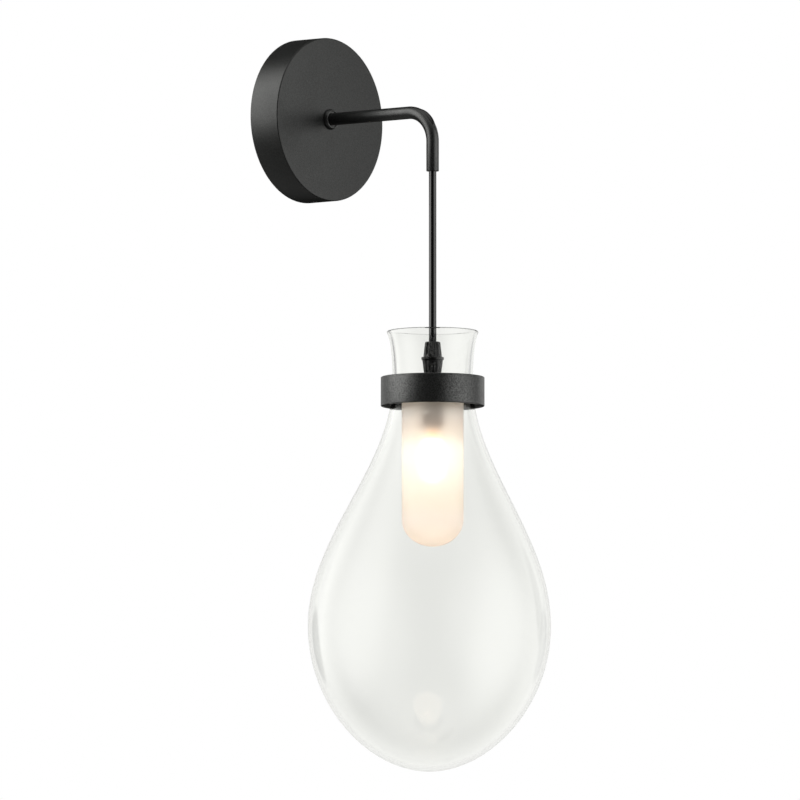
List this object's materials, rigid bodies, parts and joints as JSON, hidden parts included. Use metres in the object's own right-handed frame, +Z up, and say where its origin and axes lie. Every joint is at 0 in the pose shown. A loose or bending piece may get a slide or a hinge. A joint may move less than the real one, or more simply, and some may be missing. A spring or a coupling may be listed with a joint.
{
  "type": "hanging pendant wall sconce",
  "caption": "Wall light with a round black canopy, a bent arm and a cord that carries a clear glass teardrop round a frosted, lit tube.",
  "frame": {"origin": "on the wall, at the centre of the bracket's back face, level with the arm", "axes": "+Z up, +X to the right along the wall as seen by someone facing it, -Y out from the wall"},
  "size_m": [0.192, 0.23, 0.5889],
  "materials": {
    "powder_black": "satin black powder coat",
    "steel": "zinc plated steel",
    "brass": "plain brass",
    "nylon_white": "moulded nylon",
    "cord_black": "glossy black PVC sheath",
    "grip_black": "moulded black nylon",
    "soft_black": "black silicone",
    "core_mix": "PVC or silicone insulated cores",
    "clear_glass": "clear blown glass",
    "frosted_glass": "acid frosted glass",
    "capsule_glass": "clear quartz glass",
    "ceramic_dark": "dark grey steatite ceramic",
    "filament": "glowing tungsten"
  },
  "bodies": {
    "root": {"wall_bracket": "steel", "earth_screw": "brass", "terminal_block": "nylon_white", "terminal_screws": "steel", "canopy": "powder_black", "canopy_screws": "powder_black", "arm_tube": "powder_black", "arm_collar": "powder_black", "arm_washer": "steel", "arm_locknut": "steel", "arm_liner": "soft_black", "cord_retainer": "nylon_white", "retainer_screw": "steel", "cord_in_arm": "cord_black", "canopy_cores": "core_mix"},
    "cord_bend": {"cord_flex": "cord_black"},
    "cord": {"hanging_cord": "cord_black"},
    "pendant": {"grip_cap": "grip_black", "grip_collet": "soft_black", "grip_body": "grip_black", "grip_locknut": "steel", "carrier_cup": "powder_black", "glass_screws": "powder_black", "screw_washers": "soft_black", "glass_shade": "clear_glass", "shade_ring": "powder_black", "lampholder_bracket": "steel", "lampholder_screws": "steel", "lampholder": "ceramic_dark", "lamp_contacts": "brass", "lamp_leads": "core_mix", "diffuser": "frosted_glass", "diffuser_gasket": "soft_black", "diffuser_retainer": "powder_black", "bulb_glass": "capsule_glass", "bulb_pins": "steel", "bulb_filament": "filament"}
  },
  "joints": [
    {"name": "swing_sideways", "type": "hinge", "parent": "root", "child": "cord_bend", "pos_m": [0, -0.134, -0.0514], "axis": [0, 1, 0], "range_deg": [-30, 30]},
    {"name": "swing_out", "type": "hinge", "parent": "cord_bend", "child": "cord", "pos_m": [0, -0.134, -0.0514], "axis": [-1, 0, 0], "range_deg": [-5, 30]},
    {"name": "pendant_twist", "type": "hinge", "parent": "cord", "child": "pendant", "pos_m": [0, -0.134, -0.19], "axis": [0, 0, 1], "range_deg": [-90, 90]}
  ]
}
